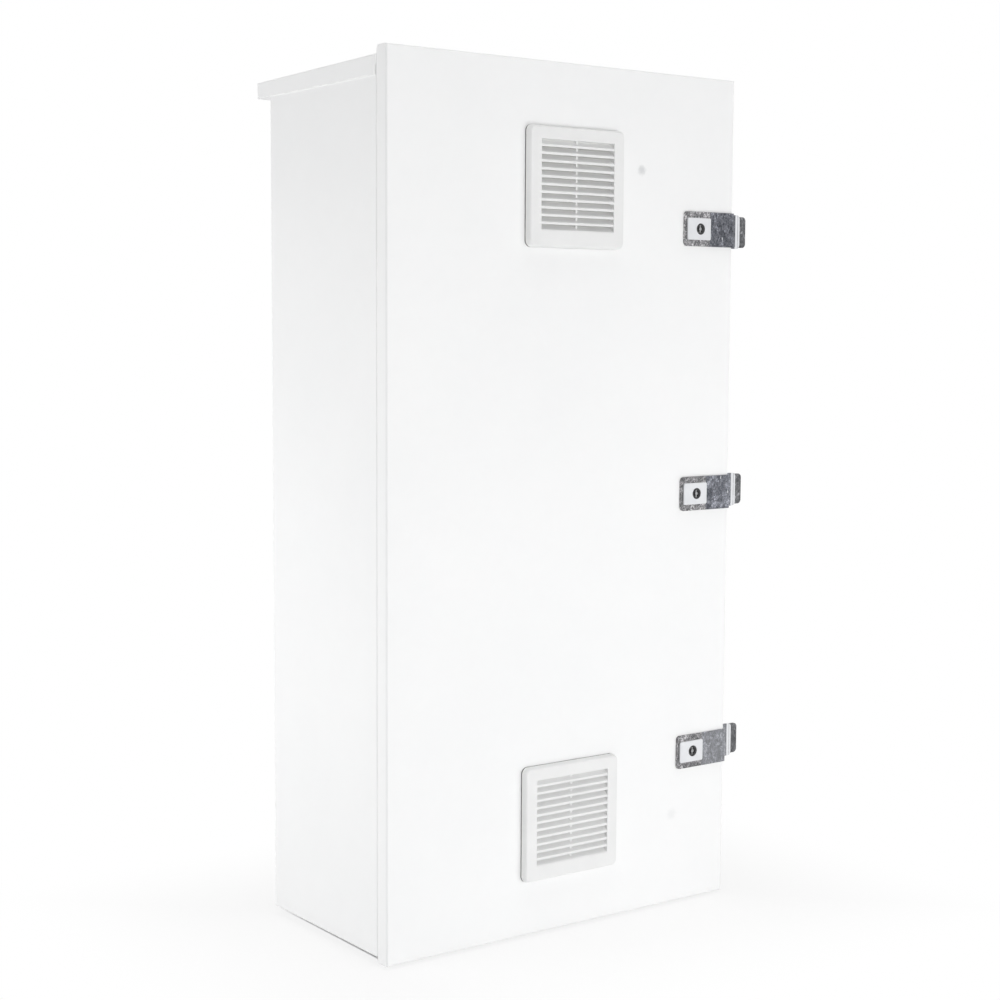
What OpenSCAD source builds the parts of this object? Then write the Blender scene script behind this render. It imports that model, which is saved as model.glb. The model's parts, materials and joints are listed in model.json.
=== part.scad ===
// Roadside utility cabinet: a folded sheet-steel box with a full-height overlay door.
// The cabinet stands on z = 0 with its front towards -Y, and the origin is the centre of
// its anchor pattern. Depths given "behind the door front" grow from the door face to the rear.

/* [Body] */
// Width of the body and of the door
body_w = 600; // [500:5:800]
// Depth of the body behind the door
body_d = 272; // [240:1:400]
// Height of the body without feet and roof
body_h = 1164; // [960:1:1500]
// Sheet thickness of body, door and roof
sheet = 1.5; // [1.2:0.1:1.8]
// Inner bend radius of the folded sheet
bend = 1.2; // [0.8:0.1:2]
// Width of the shoulder beside the door opening
shoulder_w = 40; // [40:1:46]

/* [Roof] */
// Rise of the roof above the body at the front
roof_rise = 13.5; // [12:0.5:18]
// Fall of the roof from front to rear
roof_fall = 4.5; // [2:0.5:6]
// Overhang of the roof behind the body
roof_overhang = 34; // [20:1:50]
// Drop of the roof skirt below the body top
skirt_drop = 13; // [8:1:20]
// Gap between the roof skirt and the body sides
skirt_gap = 0.2; // [0.1:0.1:0.5]

/* [Door] */
// Depth of the door pan
door_d = 22; // [21:0.5:23]
// Drop of the door below the body
door_drop = 8; // [4:1:9]
// Rise of the door above the body
door_rise = 24; // [20:1:30]
// Seam between the door pan and the body
seam = 1.5; // [1.4:0.1:4]
// Corner radius at the rear of the door's side returns
return_r = 7; // [3:1:12]
// Width of the foam seal strip
seal_w = 12; // [10:1:14]
// Thickness of the foam seal strip
seal_t = 8.5; // [8:0.5:9]

/* [Vents] */
// Width of a vent grille
vent_w = 166; // [162:1:172]
// Height of a vent grille
vent_h = 162; // [158:1:166]
// Depth of a grille frame
vent_t = 9; // [8:0.5:12]
// Thickness of the grille's rubber gasket
vent_seal_t = 1.5; // [1:0.5:2]
// Width of the louvred window
window_w = 126; // [120:1:128]
// Height of the louvred window
window_h = 121; // [114:1:122]
// Number of slots in a louvred window
slot_count = 12; // [8:1:14]
// Height of a louvre blade's front lip
lip_h = 3.2; // [2:0.1:4]
// Offset of the vents from the door's centre line
vent_x = 4; // [-10:1:10]
// Upper vent's centre below the door top
vent_below_top = 167; // [160:1:200]
// Lower vent's centre above the door bottom
vent_above_bottom = 157; // [155:1:200]

/* [Latches] */
// Upper latch below the door top
latch_below_top = 214; // [180:1:280]
// Lower latch above the door bottom
latch_above_bottom = 222; // [180:1:280]
// Reach of a hasp across the door front
hasp_reach = 95; // [90:1:110]
// Height of a hasp
hasp_h = 49; // [45:1:55]
// Thickness of hasps and keepers
hasp_t = 3; // [2.5:0.5:3]
// Reach of the hasp tail past the door edge
tail_reach = 36; // [30:1:40]
// Reach of the keeper past the body side
keeper_reach = 52; // [44:1:60]
// Height of a keeper
keeper_h = 45; // [40:1:49]
// Radius of the padlock hole
eye_r = 5; // [4:0.5:6]
// Lock axis from the inner end of the hasp
lock_inset = 29; // [28:1:32]
// Radius of the turning lock core
core_r = 8; // [7:0.5:8.5]
// Reach of the locking cam from its axis
cam_reach = 45; // [40:1:50]

/* [Hinges] */
// Upper hinge below the door top
hinge_below_top = 164; // [120:1:200]
// Lower hinge above the door bottom
hinge_above_bottom = 172; // [120:1:200]
// Height of a hinge arm
hinge_h = 40; // [36:1:60]
// Radius of the hinge pin
pin_r = 2; // [1.6:0.1:2]
// Hinge axis from the door's left edge
pin_side = 5.3; // [5.2:0.1:6]
// Hinge axis behind the door front
pin_depth = 9; // [8.6:0.1:9.4]

/* [Base] */
// Height of the foot bars
foot_h = 12; // [10:1:30]
// Width of a foot bar
foot_w = 40; // [36:1:60]
// Distance from the body side to the anchor holes
anchor_side = 80; // [60:1:100]
// Anchor hole spacing along the depth
anchor_dy = 190; // [170:5:190]
// Radius of the anchor holes
anchor_r = 6; // [5:0.5:7]

/* [Inside] */
// Distance from the body side to the mounting plate
plate_side = 50; // [45:1:80]
// Distance from the body's top and bottom to the mounting plate
plate_end = 52; // [45:1:100]
// Distance from the back wall to the mounting plate
plate_gap = 22; // [20:1:40]
// Number of cable grommets
grommet_count = 5; // [3:1:5]

/* [Hidden] */
$fn = 48;
slack = 0.05;
through = 1;
ends = [-1, 1];

// Levels and planes of the body
body_z0 = foot_h;
body_z1 = body_z0 + body_h;
half_w = body_w / 2;
front_y = -body_d / 2;
rear_y = body_d / 2;
inner_x = half_w - sheet;
inner_rear_y = rear_y - sheet;
inner_front_y = front_y + sheet;
bend_out = bend + sheet;

// Planes and edges of the door
door_y = front_y - seam - door_d;
door_z0 = body_z0 - door_drop;
door_z1 = body_z1 + door_rise;
door_h = door_z1 - door_z0;
door_in_y = door_y + sheet;
function behind(v) = door_y + v;
function from_left(u) = u - half_w;

// Rain lip round the door opening
lip_gap = 0.3;
lip_y = door_in_y + seal_t + lip_gap;
neck_x = half_w - shoulder_w - sheet / 2;
neck_in_x = neck_x - sheet / 2;
neck_top_z = body_z1 - shoulder_w;
neck_low_z = body_z0 + shoulder_w;

// Roof planes
roof_w = body_w + 2 * (skirt_gap + sheet);
roof_y0 = front_y;
roof_y1 = rear_y + roof_overhang;
roof_front_z = body_z1 + roof_rise;
roof_chamfer = 2.4;
chamfer_offset = 2 - sqrt(2);
roof_slope = atan(roof_fall / (roof_y1 - roof_y0));
skirt_z = body_z1 - skirt_drop;
roof_stud_inset = [50, 36];
roof_stud_x = half_w - roof_stud_inset[0];
roof_stud_y = body_d / 2 - roof_stud_inset[1];
roof_stud_r = 4;
roof_stud_len = 14;
spacer_r = 9;
function roof_z(y) = roof_front_z - (y - roof_y0) * tan(roof_slope);
function roof_under_z(y) = roof_z(y) - sheet / cos(roof_slope);

// Latch and hinge heights, listed from top to bottom
function three_heights(top, low) = [top, (top + low) / 2, low];
latch_z = three_heights(door_z1 - latch_below_top, door_z0 + latch_above_bottom);
hinge_z = three_heights(door_z1 - hinge_below_top, door_z0 + hinge_above_bottom);
vent_z = [door_z1 - vent_below_top, door_z0 + vent_above_bottom];

// Hasp, keeper and padlock eye
hasp_x = half_w - hasp_reach;
hasp_bend = 3;
hasp_corner_r = 6;
web_gap = 0.6;
tail_depth = door_d;
tail_gap = 1.5;
keeper_depth = tail_depth + hasp_t + tail_gap;
keeper_leg = 42;
rivet_inset = 25;
rivet_depth = keeper_depth + rivet_inset;
rivet_dz = 12;
rivet_r = 2.4;
rivet_head_r = 4.8;
rivet_head_t = 1.9;
rivet_tail_r = 3.8;
eye_x = half_w + web_gap + hasp_t + (tail_reach - web_gap - hasp_t) / 2;

// Lock, with depths behind the door front
lock_x = hasp_x + lock_inset;
plaque_w = 44;
plaque_h = 31;
plaque_t = 2;
plaque_shift = 2.5;
plaque_x = lock_x - plaque_shift;
plaque_r = 2.5;
plaque_front = -hasp_t - plaque_t;
barrel_wall = 3;
barrel_r = core_r + barrel_wall;
barrel_end = 16;
core_recess = 0.3;
core_front = plaque_front + core_recess;
core_step = 12;
core_end_gap = 0.3;
core_shoulder = 2;
core_tail_r = core_r - core_shoulder;
cam_t = 3;
cam_gap = 1.5;
cam_depth = door_d + seam + sheet + cam_gap;
cam_w = 16;
cam_hub_r = 10;
shank_w = 8;
key_r = 5.5;
key_pin_r = 2.4;
key_depth = 6;
key_pin_recess = 0.5;
key_bit_recess = 1;
key_bit_w = 1.8;
lock_nut_t = 5;
lock_nut_rim = 4.6;
lock_nut_r = barrel_r + lock_nut_rim;
cam_screw_r = 2.4;
cam_screw_len = 6;
cam_screw_head_r = 5;
cam_screw_head_t = 3;

// Hinge in plan
pin_x = from_left(pin_side);
pin_y = behind(pin_depth);
arm_t = 3;
arm_bend = 1;
arm_offset = 3.5;
arm_depth = pin_depth - arm_offset;
shank_side = 28.5;
arm_foot_gap = 1;
foot_end_side = shoulder_w - arm_foot_gap;
knuckle_wall = 1.5;
knuckle_r = pin_r + knuckle_wall;
ear_t = 3;
ear_gap = 0.4;
ear_z = hinge_h / 2 + ear_gap;
ear_wall = 1.5;
ear_r = pin_r + ear_wall;
hinge_web_t = 2;
hinge_web_gap = 6;
hinge_web_side = pin_side + hinge_web_gap;
hinge_web_end = 32;
pin_head_r = 3.4;
pin_head_t = 2;
pin_tail = 3;
hinge_screw_side = 34.6;
hinge_screw_dz = 11;
hinge_screw_r = 2.5;
hinge_screw_head_r = 3.9;
hinge_screw_head_t = 2.6;
hinge_screw_tail = 4;

// Vent grille
vent_r = 9;
vent_taper = 1.5;
vent_edge = 2;
vent_foot = 1;
vent_wall = 2.2;
window_up = 2;
blade_depth = 8.4;
blade_rise = 7.6;
blade_setback = 0.5;
slot_cut = 0.25;
sill_drop = 0.8;
rib_w = 3;
rib_setback = 4;
spigot_wall = 2;
spigot_w = window_w + 2 * spigot_wall;
spigot_h = window_h + 2 * spigot_wall;
spigot_r = 2;
spigot_end = 10;
cutout_gap = 1;
boss_r = 4;
boss_inset = 9;
boss_x = vent_w / 2 - boss_inset;
boss_z = vent_h / 2 - boss_inset;
vent_screw_r = 1.75;
vent_screw_head_r = 3.5;
vent_screw_head_t = 2.2;
vent_base_y = door_y - vent_seal_t;
vent_face_y = vent_base_y - vent_t;
retainer_inset = 2;
retainer_w = vent_w - 2 * retainer_inset;
retainer_h = vent_h - 2 * retainer_inset;
retainer_t = 2;
collar_gap = 0.3;
collar_wall = 2;
mat_front = 0.8;
mat_end = 11.8;
mat_gap = 0.3;
retainer_back = 12;
retainer_bars = 4;
retainer_bar_w = 4;

// Door rails
rail_side = 140;
rail_x = half_w - rail_side;
rail_half = 12;
rail_foot = 12;
rail_d = 14;
rail_low_gap = 80;
rail_top_gap = 90;
rail_z0 = door_z0 + rail_low_gap;
rail_z1 = door_z1 - rail_top_gap;
rail_slot_w = 10;
rail_slot_h = 26;
rail_slot_pitch = 65;

// Screw heads and nuts
hex_end_share = 0.9;
hex_chamfer_angle = 30;
head_rim_share = 0.45;
cross_len_share = 0.6;
cross_w = 0.9;
cross_depth_share = 0.5;

// Base, floor and cable entry
anchor_dx = body_w - 2 * anchor_side;
foot_inset = 40;
foot_len = body_w - 2 * foot_inset;
foot_bolt_x = 150;
foot_bolt_r = 4;
foot_bolt_depth = 10;
hex_head_r = 7.2;
hex_head_t = 5.3;
gland_w = 400;
gland_d = 140;
gland_t = 2;
gland_r = 4;
gland_rim = 22;
gland_screw_r = 2.5;
gland_screw_head_r = 4.5;
gland_screw_head_t = 3;
gland_screw_tail = 4;
gland_seal_z = body_z0 + sheet;
gland_z = gland_seal_z + gland_t;
gland_screw_x = [-1, 0, 1] * (gland_w / 2 - gland_rim / 2);
gland_screw_y = gland_d / 2 - gland_rim / 2;
grommet_r = 22;
grommet_lip = 4;
grommet_lip_t = 3;
grommet_rise = 14;
grommet_wall = 2.5;
grommet_top_r = 9;
grommet_margin = 10;
grommet_pitch = (gland_w - 2 * (gland_rim + grommet_margin)) / grommet_count;

// Mounting plate and earth stud
plate_w = body_w - 2 * plate_side;
plate_h = body_h - 2 * plate_end;
plate_t = 2;
plate_edge = 12;
plate_y = inner_rear_y - plate_gap - plate_t;
plate_z = (body_z0 + body_z1) / 2;
stud_r = 4;
stud_inset = [30, 40];
stud_x = plate_w / 2 - stud_inset[0];
stud_dz = plate_h / 2 - stud_inset[1];
stud_tip = 12;
nut_r = 7.5;
nut_t = 6.5;
earth_side = 35;
earth_x = half_w - earth_side;
earth_y = 20;
earth_len = 30;

// Finishes
paint = "#eceeef";
zinc = "#9a9fa5";
steel = "#b9bdc1";
rubber = "#25272a";
plastic = "#e4e5e1";
escutcheon = "#e6e8ea";
dark = "#1d1e20";
foam = "#4a4c4e";
mat_white = "#d9dad4";

// Plane shapes

module rounded_rect(w, h, r) {
    square([w, h - 2 * r], center = true);
    square([w - 2 * r, h], center = true);
    for (x = ends, y = ends)
        translate([x * (w / 2 - r), y * (h / 2 - r)]) circle(r);
}

module chamfered_rect(w, h, c) {
    x = w / 2;
    y = h / 2;
    polygon([
        [c - x, -y], [x - c, -y], [x, c - y], [x, y - c],
        [x - c, y], [c - x, y], [-x, y - c], [-x, c - y]
    ]);
}

// Direction of a vector and the signed turn from one vector to the next
function heading(v) = atan2(v[1], v[0]);
function wrapped(a) = a > 180 ? a - 360 : a < -180 ? a + 360 : a;
function turn(line, i) = wrapped(heading(line[i + 1] - line[i]) - heading(line[i] - line[i - 1]));
function spoke(r, a) = r * [cos(a), sin(a)];

// Ring sector of one bend, swept from an angle
module bend_sector(r_mid, t, from, sweep) {
    reach = 2 * (r_mid + t);
    intersection() {
        difference() {
            circle(r_mid + t / 2);
            circle(r_mid - t / 2);
        }
        polygon([[0, 0], spoke(reach, from), spoke(reach, from + sweep / 2), spoke(reach, from + sweep)]);
    }
}

// Section of a folded sheet along its centre line, with true arcs at the bends
module folded_sheet(line, t, bend_in) {
    last = len(line) - 1;
    r_mid = bend_in + t / 2;
    turns = [for (i = [0 : last]) i == 0 || i == last ? 0 : turn(line, i)];
    trims = [for (a = turns) r_mid * tan(abs(a) / 2)];
    for (i = [0 : last - 1]) {
        leg = line[i + 1] - line[i];
        translate(line[i]) rotate(heading(leg)) translate([trims[i], -t / 2])
            square([norm(leg) - trims[i] - trims[i + 1], t]);
    }
    for (i = [1 : last - 1]) {
        side = sign(turns[i]);
        translate(line[i]) rotate(heading(line[i] - line[i - 1])) translate([-trims[i], side * r_mid])
            bend_sector(r_mid, t, -90 * side, turns[i]);
    }
}

// Placing of plane shapes

// A shape drawn in X and Z, extruded between two Y planes
module slab_y(y0, y1) {
    translate([0, y1, 0]) rotate([90, 0, 0]) linear_extrude(y1 - y0) children();
}

// A shape drawn in Y and Z, extruded between two X planes
module slab_x(x0, x1) {
    translate([x0, 0, 0]) rotate([90, 0, 90]) linear_extrude(x1 - x0) children();
}

module rod_y(r, y0, y1) {
    slab_y(y0, y1) circle(r);
}

module rod_x(r, x0, x1) {
    slab_x(x0, x1) circle(r);
}

// Hexagonal prism with the corners of both ends chamfered
module hex_block(r, t) {
    end_r = r * hex_end_share;
    chamfer = (r - end_r) * tan(hex_chamfer_angle);
    intersection() {
        cylinder(r = r, h = t, $fn = 6);
        rotate_extrude() polygon([[0, 0], [end_r, 0], [r, chamfer], [r, t - chamfer], [end_r, t], [0, t]]);
    }
}

module hex_nut(r, t, hole_r) {
    difference() {
        hex_block(r, t);
        translate([0, 0, -through]) cylinder(r = hole_r, h = t + 2 * through);
    }
}

// Dome of a given base radius and rise
module dome(r, rise) {
    ball_r = (r * r + rise * rise) / (2 * rise);
    rotate_extrude() intersection() {
        translate([0, rise - ball_r]) circle(ball_r);
        square([r, rise]);
    }
}

// Screw head with a straight rim, a domed top and a cross recess
module pan_head(r, t) {
    rim = t * head_rim_share;
    difference() {
        union() {
            cylinder(r = r, h = rim);
            translate([0, 0, rim]) dome(r, t - rim);
        }
        for (a = [0, 90])
            rotate([0, 0, a]) translate([0, 0, t])
                cube([2 * r * cross_len_share, cross_w, 2 * t * cross_depth_share], center = true);
    }
}

// Body

// Sides and back folded from one sheet, with shoulders and rain lips at the front
module body_shell() {
    side = half_w - sheet / 2;
    shoulder = front_y + sheet / 2;
    back = rear_y - sheet / 2;
    line = [
        [-neck_x, lip_y], [-neck_x, shoulder], [-side, shoulder], [-side, back],
        [side, back], [side, shoulder], [neck_x, shoulder], [neck_x, lip_y]
    ];
    color(paint) difference() {
        translate([0, 0, body_z0]) linear_extrude(body_h) folded_sheet(line, sheet, bend);
        for (z = hinge_z, e = ends)
            translate([from_left(hinge_screw_side), 0, z + e * hinge_screw_dz])
                rod_y(hinge_screw_r + slack, front_y - through, inner_front_y + through);
        for (z = latch_z, e = ends)
            translate([0, behind(rivet_depth), z + e * rivet_dz])
                rod_x(rivet_r + slack, inner_x - through, half_w + through);
    }
}

// A flat panel between the sides, with a shoulder and a rain lip folded at its front
module end_panel(flat_z, lip_z) {
    shoulder = front_y + sheet / 2;
    line = [[inner_rear_y, flat_z], [shoulder, flat_z], [shoulder, lip_z], [lip_y, lip_z]];
    notch = 2 * shoulder_w;
    difference() {
        slab_x(-inner_x, inner_x) folded_sheet(line, sheet, bend);
        for (e = ends)
            translate([e * (neck_in_x + notch / 2), inner_front_y - notch / 2, (flat_z + lip_z) / 2])
                cube([notch, notch, 2 * notch], center = true);
    }
}

module top_panel() {
    color(paint) difference() {
        end_panel(body_z1 - sheet / 2, neck_top_z);
        for (x = ends, y = ends)
            translate([x * roof_stud_x, y * roof_stud_y, body_z1 - sheet - through])
                cylinder(r = roof_stud_r + slack, h = sheet + 2 * through);
    }
}

module floor_pan() {
    hole_h = sheet + 2 * through;
    color(paint) difference() {
        end_panel(body_z0 + sheet / 2, neck_low_z);
        translate([0, 0, body_z0 - through]) {
            linear_extrude(hole_h) square([gland_w - 2 * gland_rim, gland_d - 2 * gland_rim], center = true);
            for (x = ends, y = ends) {
                translate([x * anchor_dx / 2, y * anchor_dy / 2]) cylinder(r = anchor_r, h = hole_h);
                translate([x * foot_bolt_x, y * anchor_dy / 2])
                    cylinder(r = foot_bolt_r + slack, h = hole_h);
            }
            for (x = gland_screw_x, y = ends)
                translate([x, y * gland_screw_y]) cylinder(r = gland_screw_r + slack, h = hole_h);
        }
    }
}

// Roof

// Block under the roof's sloping top: skirts down to z0, inset from the outer faces
module roof_block(inset, z0) {
    w = roof_w - 2 * inset;
    edge_r = bend_out - inset;
    length = 2 * (roof_y1 - roof_y0);
    depth = 4 * (roof_front_z - skirt_z);
    intersection() {
        translate([0, (roof_y0 + roof_y1) / 2, z0]) linear_extrude(roof_front_z - z0)
            chamfered_rect(w, roof_y1 - roof_y0 - 2 * inset, roof_chamfer - inset * chamfer_offset);
        translate([0, roof_y0, roof_front_z - inset / cos(roof_slope)]) rotate([-roof_slope, 0, 0])
            slab_y(-length, length) translate([0, -depth / 2]) rounded_rect(w, depth, edge_r);
    }
}

module roof_cap() {
    fit = skirt_gap;
    color(paint) {
        difference() {
            roof_block(0, skirt_z);
            roof_block(sheet, skirt_z + sheet);
            translate([-half_w - fit, roof_y0 - through, skirt_z - through])
                cube([body_w + 2 * fit, body_d + fit + through, body_z1 - skirt_z + through]);
        }
        for (x = ends, y = ends)
            translate([x * roof_stud_x, y * roof_stud_y, body_z1 - roof_stud_len])
                cylinder(r = roof_stud_r, h = roof_z(y * roof_stud_y) - sheet / 2 - body_z1 + roof_stud_len);
    }
}

module roof_spacers() {
    color(steel) for (x = ends, y = ends)
        translate([x * roof_stud_x, y * roof_stud_y, body_z1]) difference() {
            h = roof_under_z(y * roof_stud_y + spacer_r) - body_z1 - slack;
            cylinder(r = spacer_r, h = h);
            translate([0, 0, -through]) cylinder(r = roof_stud_r + slack, h = h + 2 * through);
        }
}

module roof_nuts() {
    color(steel) for (x = ends, y = ends)
        translate([x * roof_stud_x, y * roof_stud_y, body_z1 - sheet - nut_t])
            hex_nut(nut_r, nut_t, roof_stud_r + slack);
}

// Base and cable entry

module foot_bar(side) {
    color(zinc) translate([0, side * anchor_dy / 2, 0]) difference() {
        translate([-foot_len / 2, -foot_w / 2, 0]) cube([foot_len, foot_w, foot_h]);
        for (x = ends) {
            translate([x * anchor_dx / 2, 0, -through]) cylinder(r = anchor_r, h = foot_h + 2 * through);
            translate([x * foot_bolt_x, 0, foot_h - foot_bolt_depth])
                cylinder(r = foot_bolt_r + slack, h = foot_bolt_depth + through);
        }
    }
}

module foot_bar_front() {
    foot_bar(-1);
}

module foot_bar_rear() {
    foot_bar(1);
}

module foot_bolts() {
    bolt_tip = foot_h - foot_bolt_depth + through;
    color(steel) for (x = ends, y = ends)
        translate([x * foot_bolt_x, y * anchor_dy / 2, 0]) {
            translate([0, 0, bolt_tip]) cylinder(r = foot_bolt_r, h = body_z0 + sheet - bolt_tip);
            translate([0, 0, body_z0 + sheet]) hex_block(hex_head_r, hex_head_t);
        }
}

module gland_screw_holes(z, h) {
    for (x = gland_screw_x, y = ends)
        translate([x, y * gland_screw_y, z]) cylinder(r = gland_screw_r + slack, h = h);
}

function grommet_x(i) = (i - (grommet_count - 1) / 2) * grommet_pitch;

module gland_plate() {
    color(zinc) difference() {
        translate([0, 0, gland_z]) linear_extrude(gland_t) rounded_rect(gland_w, gland_d, gland_r);
        gland_screw_holes(gland_z - through, gland_t + 2 * through);
        for (i = [0 : grommet_count - 1])
            translate([grommet_x(i), 0, gland_z - through])
                cylinder(r = grommet_r, h = gland_t + 2 * through);
    }
}

module gland_gasket() {
    color(foam) difference() {
        translate([0, 0, gland_seal_z]) linear_extrude(gland_t) difference() {
            rounded_rect(gland_w, gland_d, gland_r);
            square([gland_w - 2 * gland_rim, gland_d - 2 * gland_rim], center = true);
        }
        gland_screw_holes(gland_seal_z - through, gland_t + 2 * through);
    }
}

module gland_screws() {
    top = gland_z + gland_t;
    tip = body_z0 - gland_screw_tail;
    color(steel) for (x = gland_screw_x, y = ends)
        translate([x, y * gland_screw_y, 0]) {
            translate([0, 0, tip]) cylinder(r = gland_screw_r, h = top - tip);
            translate([0, 0, top]) pan_head(gland_screw_head_r, gland_screw_head_t);
        }
}

// Closed rubber membranes, each gripping the edge of its hole
module cable_grommets() {
    lip_r = grommet_r + grommet_lip;
    low = gland_z - grommet_lip_t;
    high = gland_z + gland_t + grommet_lip_t;
    top = high + grommet_rise;
    in_r = grommet_r - grommet_wall;
    color(rubber) for (i = [0 : grommet_count - 1])
        translate([grommet_x(i), 0, 0]) rotate_extrude() polygon([
            [in_r, low], [lip_r, low], [lip_r, gland_z], [grommet_r, gland_z],
            [grommet_r, gland_z + gland_t], [lip_r, gland_z + gland_t], [lip_r, high],
            [grommet_r, high], [grommet_top_r, top], [0, top], [0, top - grommet_wall],
            [grommet_top_r - grommet_wall, top - grommet_wall], [in_r, high - grommet_wall]
        ]);
}

// Inside fittings

module at_studs() {
    for (x = ends, z = ends)
        translate([x * stud_x, 0, plate_z + z * stud_dz]) children();
}

module mounting_plate() {
    mid_y = plate_y + plate_t / 2;
    edge = plate_w / 2 - plate_t / 2;
    line = [[-edge, mid_y + plate_edge], [-edge, mid_y], [edge, mid_y], [edge, mid_y + plate_edge]];
    color(zinc) difference() {
        translate([0, 0, plate_z - plate_h / 2]) linear_extrude(plate_h)
            folded_sheet(line, plate_t, plate_t / 2);
        at_studs() rod_y(stud_r + slack, plate_y - through, plate_y + plate_t + through);
    }
}

module mounting_studs() {
    color(steel) at_studs() rod_y(stud_r, plate_y - stud_tip, inner_rear_y);
}

module mounting_nuts() {
    color(steel) at_studs() for (y = [plate_y, plate_y + plate_t + nut_t])
        translate([0, y, 0]) rotate([90, 0, 0]) hex_nut(nut_r, nut_t, stud_r + slack);
}

module earth_stud() {
    color(steel) translate([earth_x, earth_y, body_z0 + sheet]) cylinder(r = stud_r, h = earth_len);
}

module earth_nut() {
    color(steel) translate([earth_x, earth_y, body_z0 + sheet]) hex_nut(nut_r, nut_t, stud_r + slack);
}

// Hinges

module at_hinge_pin() {
    translate([pin_x, pin_y]) children();
}

// Gooseneck arm that leaves room for the door return as the door swings
module hinge_arm(i) {
    line = [
        [pin_x, behind(arm_depth)],
        [from_left(shank_side), behind(arm_depth)],
        [from_left(shank_side), front_y - arm_t / 2],
        [from_left(foot_end_side), front_y - arm_t / 2]
    ];
    color(steel) translate([0, 0, hinge_z[i]]) difference() {
        linear_extrude(hinge_h, center = true) difference() {
            union() {
                folded_sheet(line, arm_t, arm_bend);
                at_hinge_pin() circle(knuckle_r);
            }
            at_hinge_pin() circle(pin_r + slack);
        }
        for (e = ends)
            translate([from_left(hinge_screw_side), 0, e * hinge_screw_dz])
                rod_y(hinge_screw_r + slack, front_y - arm_t - through, front_y + through);
    }
}

module hinge_arm_upper() {
    hinge_arm(0);
}

module hinge_arm_middle() {
    hinge_arm(1);
}

module hinge_arm_lower() {
    hinge_arm(2);
}

module hinge_screws() {
    head_y = front_y - arm_t;
    color(steel) for (z = hinge_z, e = ends)
        translate([from_left(hinge_screw_side), 0, z + e * hinge_screw_dz]) {
            translate([0, head_y, 0]) rotate([90, 0, 0]) pan_head(hinge_screw_head_r, hinge_screw_head_t);
            rod_y(hinge_screw_r, head_y, inner_front_y + hinge_screw_tail);
        }
}

// Clevis welded inside the door, with an ear above and below the arm
module hinge_bracket(i) {
    web_y = door_in_y;
    web_h = 2 * (ear_z + ear_t);
    web_x = from_left(hinge_web_side);
    end_x = from_left(hinge_web_end);
    color(steel) translate([0, 0, hinge_z[i]]) {
        translate([web_x, web_y, -web_h / 2]) cube([end_x - web_x, hinge_web_t, web_h]);
        for (e = ends)
            translate([0, 0, e * (ear_z + ear_t / 2)]) linear_extrude(ear_t, center = true) difference() {
                union() {
                    at_hinge_pin() circle(ear_r);
                    polygon([
                        [pin_x, pin_y - ear_r], [web_x, web_y], [end_x, web_y],
                        [end_x, web_y + hinge_web_t], [pin_x, pin_y + ear_r]
                    ]);
                }
                at_hinge_pin() circle(pin_r + slack / 2);
            }
    }
}

module hinge_bracket_upper() {
    hinge_bracket(0);
}

module hinge_bracket_middle() {
    hinge_bracket(1);
}

module hinge_bracket_lower() {
    hinge_bracket(2);
}

module hinge_pins() {
    ear_top = ear_z + ear_t;
    color(steel) for (z = hinge_z) translate([pin_x, pin_y, z]) {
        translate([0, 0, -ear_top - pin_tail]) cylinder(r = pin_r, h = 2 * ear_top + pin_tail);
        translate([0, 0, ear_top]) cylinder(r = pin_head_r, h = pin_head_t);
    }
}

// Door

// A pan-shaped block with rounded front edges, inset on every side but the rear
module pan_block(inset, depth) {
    w = body_w - 2 * inset;
    h = door_h - 2 * inset;
    r = bend_out - inset;
    mid_z = (door_z0 + door_z1) / 2;
    y0 = door_y + inset;
    y1 = door_y + depth;
    intersection() {
        translate([0, (y0 + y1) / 2 + r, door_z0 + inset]) linear_extrude(h)
            rounded_rect(w, y1 - y0 + 2 * r, r);
        slab_x(-half_w, half_w) translate([(y0 + y1) / 2 + r, mid_z])
            rounded_rect(y1 - y0 + 2 * r, h, r);
        translate([-half_w, door_y, door_z0]) cube([body_w, depth, door_h]);
    }
}

// Rounds off the rear corners of the side returns
module return_corners() {
    rear = door_y + door_d;
    for (x = ends, z = [0, 1])
        translate([x * half_w, 0, z == 0 ? door_z0 : door_z1]) mirror([0, 0, z])
            slab_x(-sheet, sheet) translate([rear, 0]) difference() {
                translate([-return_r, -through]) square([return_r + through, return_r + through]);
                translate([-return_r, return_r]) circle(return_r);
            }
}

module at_vent_screws(z) {
    for (e = ends, f = ends)
        translate([vent_x + e * boss_x, 0, z + f * boss_z]) children();
}

module door_panel() {
    color(paint) difference() {
        pan_block(0, door_d);
        pan_block(sheet, door_d + through);
        return_corners();
        for (z = vent_z) {
            translate([vent_x, 0, z + window_up]) slab_y(door_y - through, door_in_y + through)
                rounded_rect(spigot_w + 2 * cutout_gap, spigot_h + 2 * cutout_gap, spigot_r + cutout_gap);
            at_vent_screws(z) rod_y(vent_screw_r + slack, door_y - through, door_in_y + through);
        }
        for (z = latch_z)
            translate([lock_x, 0, z]) rod_y(barrel_r + slack, door_y - through, door_in_y + through);
    }
}

module door_gasket() {
    mid_z = (neck_top_z + neck_low_z) / 2;
    opening_h = neck_top_z - neck_low_z;
    color(rubber) translate([0, 0, mid_z]) slab_y(door_in_y, door_in_y + seal_t) difference() {
        rounded_rect(2 * neck_x + seal_w, opening_h + seal_w, seal_w / 2);
        rounded_rect(2 * neck_x - seal_w, opening_h - seal_w, seal_w / 4);
    }
}

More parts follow.
